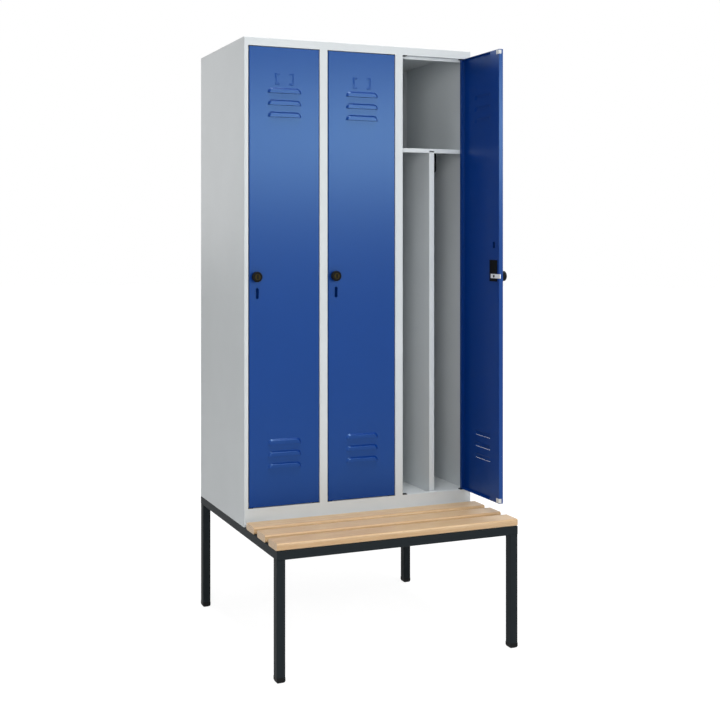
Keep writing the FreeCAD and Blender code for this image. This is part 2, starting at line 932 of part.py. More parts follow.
def knob(number):
    """Round knob with a foot flange, a socket for the cylinder core and the spindle that carries the cam."""
    handle = Piece(f"lock_{number + 1}_knob")
    seat = door_front - size("knob_clearance")
    foot_top = seat - size("knob_foot")
    grip, radius, spindle = size("knob_grip"), size("knob_radius"), size("spindle_radius")
    profile = [
        (0, knob_front),
        (grip, knob_front),
        (grip, foot_top),
        (radius, foot_top),
        (radius, seat),
        (spindle, seat),
        (spindle, cam_back),
        (0, cam_back),
    ]
    handle.turn("XY", profile)
    middle = Size.of(0)
    socket = centred(middle, middle, size("core_plug") + size("pin_fit") * 2)
    handle.pocket("XZ", [socket], size("core_depth"), at=knob_front)
    handle.pad("XZ", [centred(middle, middle, size("spindle_square"))], size("cam_thickness"), at=cam_back)
    return hang_lock(handle, number)


def cylinder(number):
    """Cylinder core with a round face on the knob, a square plug in its socket and a key slot."""
    core = Piece(f"lock_{number + 1}_cylinder")
    face, middle = size("core_face"), Size.of(0)
    core.pad("XZ", [Circle(0, 0, size("core_radius"))], face, at=knob_front, way=-1)
    core.pad("XZ", [centred(middle, middle, size("core_plug"))], size("core_depth"), at=knob_front)
    key = upright(middle, middle, size("key_width"), size("key_length"))
    core.pocket("XZ", [key], size("key_depth"), at=knob_front - face)
    return hang_lock(core, number)


def cam(number):
    """Latch cam on the spindle: its long end reaches behind the stile when the door is locked."""
    bar = Piece(f"lock_{number + 1}_cam")
    half = size("cam_width") / 2
    outline = rectangle(-size("cam_length"), -half, size("cam_tail"), half)
    bore = centred(Size.of(0), Size.of(0), size("spindle_square") + size("pin_fit") * 2)
    bar.pad("XZ", [outline, bore], size("cam_thickness"), at=cam_back)
    return hang_lock(bar, number)


side_wall("side_wall_left", 1, 0)
side_wall("side_wall_right", -1, cabinet_width)
back_wall()
roof()
floor()
for gap in range(1, COMPARTMENTS):
    divider(gap)
for bay in range(COMPARTMENTS):
    hat_shelf(bay)
    partition(bay)
    coat_hooks(bay)
pivot_bushes("pivot_bushes_lower", 1, frame_height + sill_height)
pivot_bushes("pivot_bushes_upper", -1, cabinet_top - top_rail)
glide_pads()

corners = {
    "front_left": (Size.of(0), -bench_reach),
    "front_right": (cabinet_width - tube, -bench_reach),
    "rear_left": (Size.of(0), cabinet_depth - tube),
    "rear_right": (cabinet_width - tube, cabinet_depth - tube),
}
for corner_name, (corner_x, corner_y) in corners.items():
    leg(f"leg_{corner_name}", corner_x, corner_y)
    foot(f"foot_{corner_name}", corner_x, corner_y)
side_rail("side_rail_left", Size.of(0), Size.of(0))
side_rail("side_rail_right", tube, cabinet_width - tube)
end_rail("front_rail", Size.of(0), -bench_reach)
end_rail("rear_rail", tube, cabinet_depth - tube)
cross_rail()
for slat_name, front_edge in zip(("front", "middle", "rear"), slat_front_edges()):
    slat(f"slat_{slat_name}", front_edge)

for bay in range(COMPARTMENTS):
    door_panel(bay)
    pivot_pins(bay)
    corner_caps(bay)
    lock_plate(bay)
    knob(bay)
    cylinder(bay)
    cam(bay)

doc.recompute()

failed = [o.Label for o in doc.Objects if "Invalid" in o.State or "Error" in o.State]
if failed:
    raise RuntimeError(f"features that did not build: {failed}")
for piece in Piece.made:
    shape = piece.body.Shape
    if shape.isNull() or not shape.isValid() or not shape.Solids:
        raise RuntimeError(f"{piece.body.Label} has no valid solid")

os.makedirs("parts", exist_ok=True)
for piece in Piece.made:
    piece.body.Shape.exportStep(f"parts/{piece.body.Label}.step")
print(len(Piece.made), "pieces written")
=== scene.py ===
"""Finishes, pressed louvres, small hardware and a studio for a clothes locker with a bench."""

import json
import math

import bmesh
import bpy
from bpy.props import FloatProperty, FloatVectorProperty, PointerProperty
from mathutils import Matrix, Vector


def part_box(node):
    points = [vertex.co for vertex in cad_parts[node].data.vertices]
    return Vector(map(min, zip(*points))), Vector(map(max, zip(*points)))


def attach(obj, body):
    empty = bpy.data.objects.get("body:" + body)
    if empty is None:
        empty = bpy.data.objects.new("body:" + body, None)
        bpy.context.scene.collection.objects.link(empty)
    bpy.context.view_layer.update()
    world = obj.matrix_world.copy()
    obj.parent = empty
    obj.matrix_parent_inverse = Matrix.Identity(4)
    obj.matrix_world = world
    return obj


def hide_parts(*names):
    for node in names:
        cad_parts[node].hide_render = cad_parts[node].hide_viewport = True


bl_info = {
    "name": "Clothes locker finishes",
    "version": (1, 0, 0),
    "blender": (4, 5, 0),
    "location": "View3D > Sidebar > Locker",
    "description": "Finishes, pressed louvres, small hardware and a studio for a clothes locker with a bench",
    "category": "Object",
}

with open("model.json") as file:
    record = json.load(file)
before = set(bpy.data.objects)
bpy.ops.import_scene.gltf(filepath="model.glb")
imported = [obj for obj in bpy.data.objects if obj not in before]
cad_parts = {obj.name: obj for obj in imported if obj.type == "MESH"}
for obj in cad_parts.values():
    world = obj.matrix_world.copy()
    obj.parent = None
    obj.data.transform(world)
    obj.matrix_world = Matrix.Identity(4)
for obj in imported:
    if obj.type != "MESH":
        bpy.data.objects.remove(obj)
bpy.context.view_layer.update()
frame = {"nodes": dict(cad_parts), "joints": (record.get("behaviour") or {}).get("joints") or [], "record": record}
JOINTS = {joint["name"]: joint for joint in frame["joints"]}
SLOTS = {part["node"]: part["material_slot"] for part in frame["record"]["subparts"]}
MM = 0.001
QUARTER_TURN = math.pi / 2
BAYS = (1, 2, 3)
WHITE = (1, 1, 1)
NOISE_DETAIL = 2.0
# Length of one wave of the wave texture at a scale of 1.
WAVE_LENGTH = 0.314
# Finishes that more than one step uses.
BLUE_COAT = "Blue powder coat"
BLACK_NYLON = "Moulded black nylon"
ZINC_STEEL = "Zinc plated steel"
DULL_BRASS = "Dull turned brass"
COPIES = "Copies on points"


def linear(code):
    """Linear colour of an sRGB hex code, by the sRGB standard's own curve."""
    channels = [int(code[at:at + 2], 16) / 255 for at in (0, 2, 4)]
    return [c / 12.92 if c <= 0.04045 else ((c + 0.055) / 1.055) ** 2.4 for c in channels]


def colour(name, code, description):
    """Colour property whose default is an sRGB hex code."""
    return FloatVectorProperty(
        name=name, description=description, subtype="COLOR", size=3, min=0, max=1, default=linear(code)
    )


def length(name, millimetres, description):
    """Length property whose default is given in millimetres."""
    return FloatProperty(name=name, description=description, unit="LENGTH", min=0, default=millimetres * MM)


def watts(name, power, description):
    """Power property of a lamp."""
    return FloatProperty(name=name, description=description, unit="POWER", min=0, default=power)


class LockerFinishes(bpy.types.PropertyGroup):
    """Colours of the locker's finishes."""

    cabinet: colour("Cabinet", "CBD0D2", "Light grey powder coat of the cabinet")
    sheen: colour("Door sheen", "A9DBFF", "Blue tint of the shine on the doors")
    doors: colour("Doors", "02307A", "Blue powder coat of the doors")
    frame: colour("Frame", "24292C", "Black grey powder coat of the bench frame")
    beech_early: colour("Beech, light", "D3B994", "Early wood of the slats")
    beech_late: colour("Beech, dark", "B68F63", "Late wood of the slats")
    beech_fleck: colour("Beech, flecks", "977048", "Short dark flecks in the beech")
    black_plastic: colour("Black plastic", "0E0F10", "Knobs, hooks, lock plates and bushes")
    foot_plastic: colour("Feet", "121314", "Rubber feet under the legs")
    white_plastic: colour("White plastic", "D2D5D5", "Corner caps of the doors")
    zinc: colour("Zinc", "F6F7F8", "Zinc plated pins, cams, screws and bolts")
    brass: colour("Brass", "322D1B", "Dark dull brass of the lock cylinders")


class LockerHardware(bpy.types.PropertyGroup):
    """Sizes of the louvres and of the small hardware."""

    louvre_width: length("Louvre width", 125, "Width of a louvre at the door's face")
    louvre_height: length("Louvre height", 18, "Height of a louvre at the door's face")
    louvre_depth: length("Louvre depth", 7, "How far a louvre stands out of the door")
    louvre_crest: length("Louvre crest", 13, "Height of a louvre's flat crest")
    louvre_draft: length("Louvre draft", 7, "Width that each end of a louvre slopes over")
    louvre_corner: length("Louvre corner", 16, "Radius of a louvre's upper corners at the door's face")
    louvre_pitch: length("Louvre pitch", 42, "Distance from one louvre to the next")
    louvre_top: length("Louvre top", 141, "Distance of the highest louvre from the door's upper edge")
    louvre_bottom: length("Louvre bottom", 131, "Distance of the lowest louvre from the door's lower edge")
    louvre_axis: length("Louvre axis", 124.5, "Distance of the louvres' middle from the door's pivot")
    sheet: length("Sheet", 1, "Thickness of the door's sheet")
    hollow_depth: length("Hollow depth", 2.6, "Depth of the hollow behind a louvre")
    hollow_ends: length("Hollow ends", 20, "Width that each end of the hollow slopes over")
    hollow_top: length("Hollow top", 8, "Height that the top of the hollow slopes over")
    card_width: length("Card width", 68, "Width over the two guides of the name card")
    card_height: length("Card height", 38, "Height of the guides of the name card")
    card_gap: length("Card gap", 12, "Distance of the guides from the highest louvre")
    card_bar: length("Card bar", 4, "Width of a guide's bar at its crest")
    card_tab: length("Card tab", 12, "Length of the tabs at a guide's ends")
    guide_width: length("Guide width", 8, "Width of a guide's rib at the door's face")
    guide_rise: length("Guide rise", 1.2, "Height of a guide's rib")
    screw_head: length("Screw head", 12, "Diameter of a slat screw's head")
    screw_rise: length("Screw rise", 4, "Height of a slat screw's head")
    bolt_flats: length("Bolt flats", 13, "Width of a cabinet bolt's head across its flats")
    bolt_rise: length("Bolt rise", 5.3, "Height of a cabinet bolt's head")
    washer: length("Washer", 17, "Diameter of the washer under a cabinet bolt")
    washer_rise: length("Washer rise", 1.6, "Thickness of the washer under a cabinet bolt")
    bolt_inset: length("Bolt inset", 60, "Distance of a cabinet bolt from the cabinet's front or back")
    knob_head: length("Knob head", 18.2, "Radius of a knob's head, its widest part")
    knob_neck: length("Knob neck", 15, "Radius of a knob's neck at the door")
    knob_grip: length("Knob grip", 7, "Height of the head's straight grip")
    knob_round: length("Knob rounding", 3, "Rounding from the head's grip to its face")
    knob_rim: length("Knob rim", 1.2, "Rounding of a knob's rim")
    knob_play: length("Knob play", 0.15, "Gap between a knob's rim and the cylinder")
    spindle: length("Spindle", 6, "Radius of a knob's spindle")
    key_width: length("Keyway width", 6.5, "Width of the keyway in a lock cylinder")
    key_height: length("Keyway height", 15, "Height of the keyway in a lock cylinder")


class LockerStudio(bpy.types.PropertyGroup):
    """Camera and light of the studio."""

    eye: FloatVectorProperty(
        name="Eye", description="Place of the camera", subtype="XYZ", unit="LENGTH", size=3,
        default=(-1.7214, -3.6556, 1.42165),
    )
    turn: FloatProperty(
        name="Turn", description="Turn of the camera to the right of +Y", subtype="ANGLE",
        default=math.radians(20.384),
    )
    lens: FloatProperty(name="Lens", description="Focal length in millimetres", unit="CAMERA", default=54.655)
    shift: FloatVectorProperty(
        name="Shift", description="Lens shift as a share of the image", size=2, default=(0.14147, -0.16737)
    )
    ambient: FloatProperty(name="Ambient", description="Strength of the room's even light", default=0.1)
    front_power: watts("Front softbox", 43, "Power in watts of the wide softbox before the doors")
    fill_power: watts("Fill softbox", 78, "Power in watts of the softbox beside the camera")
    top_power: watts("Overhead softbox", 300, "Power in watts of the wide softbox high over the bench")
    rim_power: watts("Rim softbox", 20, "Power in watts of the softbox behind the left wall")
    floor: colour("Floor", "F2F2F2", "Plain pale floor")


GROUPS = {
    "locker_finishes": LockerFinishes,
    "locker_hardware": LockerHardware,
    "locker_studio": LockerStudio,
}


def add(tree, kind, inputs=(), out=0, **settings):
    """Adds a node with its settings, fills its inputs with values or other nodes' sockets and gives one output."""
    node = tree.nodes.new(kind)
    for name, value in settings.items():
        setattr(node, name, value)
    for key, value in dict(inputs).items():
        if isinstance(value, bpy.types.NodeSocket):
            tree.links.new(value, node.inputs[key])
        else:
            node.inputs[key].default_value = value
    return node.outputs[out] if node.outputs else None


def opaque(rgb, factor=1.0):
    """Colour, made lighter or darker by a factor, with full alpha as a colour socket takes it."""
    return (*[min(1, c * factor) for c in rgb], 1)


def grain(millimetres):
    """Noise scale whose features are about this wide."""
    return 1 / (millimetres * MM)


def new_material(name):
    """Empty node material and its tree."""
    material = bpy.data.materials.new(name)
    material.use_nodes = True
    material.node_tree.nodes.clear()
    return material, material.node_tree


def powder_coat(name, rgb, roughness, specular, sheen=WHITE):
    """Powder coat, sprayed on and baked: satin, with a faint orange peel and a slight drift of tone."""
    # Real orange peel is finer and flatter still; this much just shows in a close view.
    cloud_mm, peel_mm = 180, 2.5
    dark, light, gloss_drift = 0.96, 1.04, 0.03
    material, tree = new_material(name)
    place = add(tree, "ShaderNodeTexCoord", out="Object")
    cloud = add(tree, "ShaderNodeTexNoise", {"Vector": place, "Scale": grain(cloud_mm), "Detail": NOISE_DETAIL})
    peel = add(tree, "ShaderNodeTexNoise", {"Vector": place, "Scale": grain(peel_mm), "Detail": NOISE_DETAIL})
    tone = add(tree, "ShaderNodeMix", {
        0: cloud, 6: opaque(rgb, dark), 7: opaque(rgb, light),
    }, out=2, data_type="RGBA")
    gloss = add(tree, "ShaderNodeMapRange", {
        "Value": peel, "To Min": roughness - gloss_drift, "To Max": roughness + gloss_drift,
    })
    bump = add(tree, "ShaderNodeBump", {"Height": peel, "Strength": 0.12, "Distance": 0.02 * MM})
    paint = add(tree, "ShaderNodeBsdfPrincipled", {
        "Base Color": tone, "Roughness": gloss, "Specular IOR Level": specular, "Specular Tint": opaque(sheen),
        "Normal": bump,
    })
    add(tree, "ShaderNodeOutputMaterial", {"Surface": paint})
    return material


def lacquered_beech():
    """Beech, planed and clear lacquered: soft growth bands along the slat, short dark flecks and a dull shine."""
    ring_mm, streak_mm, fibre_mm, board_mm = 7, 9, 1.6, 70
    # Flecks are drawn about twice as wide as the real ones, so that they show.
    fleck_mm = 1.8
    grain_stretch, fleck_stretch = (0.06, 1, 1), (0.1, 1, 1)
    # The tree's heart lies below the slats, so that the growth bands run out of the tops in long streaks.
    heart_place = (0, 0.19, -0.36)
    finishes = bpy.context.scene.locker_finishes
    early, late = opaque(finishes.beech_early), opaque(finishes.beech_late)
    material, tree = new_material("Lacquered beech")
    place = add(tree, "ShaderNodeTexCoord", out="Object")
    along = add(tree, "ShaderNodeMapping", {"Vector": place, "Scale": grain_stretch})
    heart = add(tree, "ShaderNodeMapping", {"Vector": along, "Location": heart_place})
    bands = add(tree, "ShaderNodeTexWave", {
        "Vector": heart, "Scale": WAVE_LENGTH * grain(ring_mm), "Distortion": 3.0, "Detail": NOISE_DETAIL,
        "Detail Scale": 0.6,
    }, out="Fac", wave_type="RINGS", rings_direction="X")
    streaks, fibre, board = [
        add(tree, "ShaderNodeTexNoise", {"Vector": along, "Scale": grain(width), "Detail": NOISE_DETAIL})
        for width in (streak_mm, fibre_mm, board_mm)
    ]
    short = add(tree, "ShaderNodeMapping", {"Vector": place, "Scale": fleck_stretch})
    flecks = add(tree, "ShaderNodeTexNoise", {"Vector": short, "Scale": grain(fleck_mm), "Detail": NOISE_DETAIL})
    wood = early
    for pattern, low, high, share, tint in (
        (bands, 0.0, 1.0, 0.7, late),
        (streaks, 0.35, 0.7, 0.6, late),
        (board, 0.3, 0.7, 0.4, early),
        (fibre, 0.3, 0.7, 0.25, late),
        (flecks, 0.6, 0.72, 0.45, opaque(finishes.beech_fleck)),
    ):
        amount = add(tree, "ShaderNodeMapRange", {
            "Value": pattern, "From Min": low, "From Max": high, "To Max": share,
        })
        wood = add(tree, "ShaderNodeMix", {0: amount, 6: wood, 7: tint}, out=2, data_type="RGBA")
    gloss = add(tree, "ShaderNodeMapRange", {"Value": fibre, "To Min": 0.3, "To Max": 0.4})
    bump = add(tree, "ShaderNodeBump", {"Height": fibre, "Strength": 0.15, "Distance": 0.05 * MM})
    lacquer = add(tree, "ShaderNodeBsdfPrincipled", {
        "Base Color": wood, "Roughness": gloss, "Specular IOR Level": 0.5, "Normal": bump,
    })
    add(tree, "ShaderNodeOutputMaterial", {"Surface": lacquer})
    return material


def moulded_plastic(name, rgb, roughness, specular, grain_mm):
    """Plastic or rubber, injection moulded: matt, with the fine even grain of an etched mould."""
    dark, light, gloss_drift = 0.88, 1.06, 0.06
    material, tree = new_material(name)
    place = add(tree, "ShaderNodeTexCoord", out="Object")
    etch = add(tree, "ShaderNodeTexNoise", {"Vector": place, "Scale": grain(grain_mm), "Detail": NOISE_DETAIL})
    tone = add(tree, "ShaderNodeMix", {
        0: etch, 6: opaque(rgb, dark), 7: opaque(rgb, light),
    }, out=2, data_type="RGBA")
    gloss = add(tree, "ShaderNodeMapRange", {
        "Value": etch, "To Min": roughness - gloss_drift, "To Max": roughness + gloss_drift,
    })
    bump = add(tree, "ShaderNodeBump", {"Height": etch, "Strength": 0.2, "Distance": 0.04 * MM})
    plastic = add(tree, "ShaderNodeBsdfPrincipled", {
        "Base Color": tone, "Roughness": gloss, "Specular IOR Level": specular, "Normal": bump,
    })
    add(tree, "ShaderNodeOutputMaterial", {"Surface": plastic})
    return material


def plated_steel(name, rgb, roughness, cloud_mm):
    """Steel, zinc plated and passivated: a pale, clouded, dull film over the metal, with fine drawing marks."""
    mark_mm, mark_stretch = 0.8, (1, 1, 0.08)
    dark, smoother, rougher = 0.88, 0.05, 0.08
    material, tree = new_material(name)
    place = add(tree, "ShaderNodeTexCoord", out="Object")
    cloud = add(tree, "ShaderNodeTexNoise", {"Vector": place, "Scale": grain(cloud_mm), "Detail": NOISE_DETAIL})
    drawn = add(tree, "ShaderNodeMapping", {"Vector": place, "Scale": mark_stretch})
    marks = add(tree, "ShaderNodeTexNoise", {"Vector": drawn, "Scale": grain(mark_mm), "Detail": NOISE_DETAIL})
    tone = add(tree, "ShaderNodeMix", {0: cloud, 6: opaque(rgb, dark), 7: opaque(rgb)}, out=2, data_type="RGBA")
    gloss = add(tree, "ShaderNodeMapRange", {
        "Value": cloud, "To Min": roughness - smoother, "To Max": roughness + rougher,
    })
    bump = add(tree, "ShaderNodeBump", {"Height": marks, "Strength": 0.1, "Distance": 0.02 * MM})
    film = add(tree, "ShaderNodeBsdfPrincipled", {
        "Base Color": tone, "Metallic": 0.25, "Roughness": gloss, "Normal": bump,
    })
    add(tree, "ShaderNodeOutputMaterial", {"Surface": film})
    return material


def turned_brass(name, rgb):
    """Brass, turned and long in use: dull, with fine turning marks, and painted shade that turns its recesses near
    black.
    """
    mark_mm, recess_mm = 1.5, 8
    dark, recess_shade = 0.75, 0.02
    material, tree = new_material(name)
    place = add(tree, "ShaderNodeTexCoord", out="Object")
    marks = add(tree, "ShaderNodeTexNoise", {"Vector": place, "Scale": grain(mark_mm), "Detail": NOISE_DETAIL})
    tone = add(tree, "ShaderNodeMix", {0: marks, 6: opaque(rgb, dark), 7: opaque(rgb)}, out=2, data_type="RGBA")
    # Painted shade: the ambient occlusion node finds the recesses, such as the keyway and the ring round the face,
    # and the mix below turns them a near black, unmetallic colour where shade would fall.
    open_sky = add(tree, "ShaderNodeAmbientOcclusion", {"Distance": recess_mm * MM}, out="AO", samples=8)
    unshaded = add(tree, "ShaderNodeMapRange", {"Value": open_sky, "From Min": 0.55, "From Max": 0.95})
    shaded_tone = add(tree, "ShaderNodeMix", {0: unshaded, 6: opaque(rgb, recess_shade), 7: tone}, out=2, data_type="RGBA")
    gloss = add(tree, "ShaderNodeMapRange", {"Value": marks, "To Min": 0.4, "To Max": 0.55})
    bump = add(tree, "ShaderNodeBump", {"Height": marks, "Strength": 0.1, "Distance": 0.02 * MM})
    shine = add(tree, "ShaderNodeBsdfPrincipled", {
        "Base Color": shaded_tone, "Metallic": unshaded, "Roughness": gloss, "Specular IOR Level": 0.05, "Normal": bump,
    })
    add(tree, "ShaderNodeOutputMaterial", {"Surface": shine})
    return material


def dress(slot, material):
    """Gives every piece of the frame in a material slot its finish."""
    for node, name in SLOTS.items():
        if name == slot:
            for holder in frame["nodes"][node].material_slots:
                holder.material = material


def new_object(name, data):
    """Object at the origin that shows a mesh, a lamp or a camera."""
    piece = bpy.data.objects.new(name, data)
    bpy.context.scene.collection.objects.link(piece)
    return piece


def lathe(profile, steps):
    """Mesh turned about the Z axis from (radius, height) points, closed at both ends on the axis."""
    merge_distance = 0.001 * MM
    shape = bmesh.new()
    line = [shape.verts.new((radius, 0, height)) for radius, height in profile]
    edges = [shape.edges.new(pair) for pair in zip(line, line[1:])]
    bmesh.ops.spin(shape, geom=line + edges, cent=(0, 0, 0), axis=(0, 0, 1), angle=math.tau, steps=steps)
    bmesh.ops.remove_doubles(shape, verts=shape.verts, dist=merge_distance)
    bmesh.ops.recalc_face_normals(shape, faces=shape.faces)
    return shape


def arc(centre, radius, start, end, steps):
    """Points of an arc in a profile, from one angle in degrees to another."""
    points = []
    for step in range(steps + 1):
        angle = math.radians(start + (end - start) * step / steps)
        points.append((centre[0] + radius * math.cos(angle), centre[1] + radius * math.sin(angle)))
    return points


def eased(share):
    """Share from 0 to 1 on a soft curve that starts and ends level."""
    return share * share * (3 - 2 * share)


def finish_mesh(name, shape, place, material, smooth_degrees=35):
    """Plain mesh of a bmesh shape, put in its place, with smooth shading up to an angle."""
    shape.transform(place)
    mesh = bpy.data.meshes.new(name)
    shape.to_mesh(mesh)
    shape.free()
    mesh.materials.append(material)
    mesh.shade_smooth()
    mesh.set_sharp_from_angle(angle=math.radians(smooth_degrees))
    return mesh


def copies_tree():
    """Node tree that sets one copy of a shape on each point and gives all of them one finish."""
    tree = bpy.data.node_groups.new(COPIES, "GeometryNodeTree")
    for name, way, kind in (
        ("Points", "INPUT", "NodeSocketGeometry"),
        ("Shape", "INPUT", "NodeSocketObject"),
        ("Finish", "INPUT", "NodeSocketMaterial"),
        ("Copies", "OUTPUT", "NodeSocketGeometry"),
    ):
        tree.interface.new_socket(name, in_out=way, socket_type=kind)
    given = tree.nodes.new("NodeGroupInput").outputs
    shape = add(tree, "GeometryNodeObjectInfo", {"Object": given["Shape"]}, out="Geometry")
    points = add(tree, "GeometryNodeMeshToPoints", {"Mesh": given["Points"]})
    copies = add(tree, "GeometryNodeInstanceOnPoints", {"Points": points, "Instance": shape})
    solid = add(tree, "GeometryNodeRealizeInstances", {"Geometry": copies})
    finished = add(tree, "GeometryNodeSetMaterial", {"Geometry": solid, "Material": given["Finish"]})
    add(tree, "NodeGroupOutput", {"Copies": finished})
    return tree


def set_copies(name, shape, points, material, body):
    """One mesh of like shapes, each on a point of the given body."""
    tree = bpy.data.node_groups.get(COPIES) or copies_tree()
    mesh = bpy.data.meshes.new(name)
    mesh.from_pydata(points, [], [])
    carrier = new_object(name, mesh)
    modifier = carrier.modifiers.new("Copies", "NODES")
    modifier.node_group = tree
    inputs = {socket.name: socket.identifier for socket in tree.interface.items_tree if socket.in_out == "INPUT"}
    modifier[inputs["Shape"]] = shape
    modifier[inputs["Finish"]] = material
    graph = bpy.context.evaluated_depsgraph_get()
    made = bpy.data.meshes.new_from_object(carrier.evaluated_get(graph))
    carrier.modifiers.remove(modifier)
    carrier.data = made
    bpy.data.objects.remove(shape)
    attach(carrier, body)


class LOCKER_OT_paint_sheet(bpy.types.Operator):
    """Powder coats the cabinet, the doors and the bench frame"""

    bl_idname = "locker.paint_sheet"
    bl_label = "Paint steel"

    def execute(self, context):
        finishes = context.scene.locker_finishes
        dress("cabinet_paint", powder_coat(
            "Light grey powder coat", finishes.cabinet, roughness=0.42, specular=0.2,
        ))
        dress("door_paint", powder_coat(
            BLUE_COAT, finishes.doors, roughness=0.3, specular=0.62, sheen=finishes.sheen,
        ))
        dress("frame_paint", powder_coat(
            "Black grey powder coat", finishes.frame, roughness=0.42, specular=0.03,
        ))
        return {"FINISHED"}


class LOCKER_OT_finish_slats(bpy.types.Operator):
    """Gives the bench slats their lacquered beech"""

    bl_idname = "locker.finish_slats"
    bl_label = "Finish slats"

    def execute(self, context):
        dress("beech", lacquered_beech())
        return {"FINISHED"}


class LOCKER_OT_finish_plastics(bpy.types.Operator):
    """Gives caps, bushes, hooks, lock plates and feet their moulded plastic"""

    bl_idname = "locker.finish_plastics"
    bl_label = "Finish plastics"

    def execute(self, context):
        finishes = context.scene.locker_finishes
        dress("black_plastic", moulded_plastic(
            BLACK_NYLON, finishes.black_plastic, roughness=0.45, specular=0.08, grain_mm=1.2,
        ))
        dress("foot_plastic", moulded_plastic(
            "Moulded rubber", finishes.foot_plastic, roughness=0.6, specular=0.12, grain_mm=1.6,
        ))
        dress("white_plastic", moulded_plastic(
            "Moulded white polyethylene", finishes.white_plastic, roughness=0.5, specular=0.3, grain_mm=1.5,
        ))
        return {"FINISHED"}


class LOCKER_OT_finish_metals(bpy.types.Operator):
    """Gives pins, cams and lock cylinders their metal"""

    bl_idname = "locker.finish_metals"
    bl_label = "Finish metals"

    def execute(self, context):
        finishes = context.scene.locker_finishes
        dress("zinc_steel", plated_steel(ZINC_STEEL, finishes.zinc, roughness=0.45, cloud_mm=14))
        dress("brass_core", turned_brass(DULL_BRASS, finishes.brass))
        return {"FINISHED"}


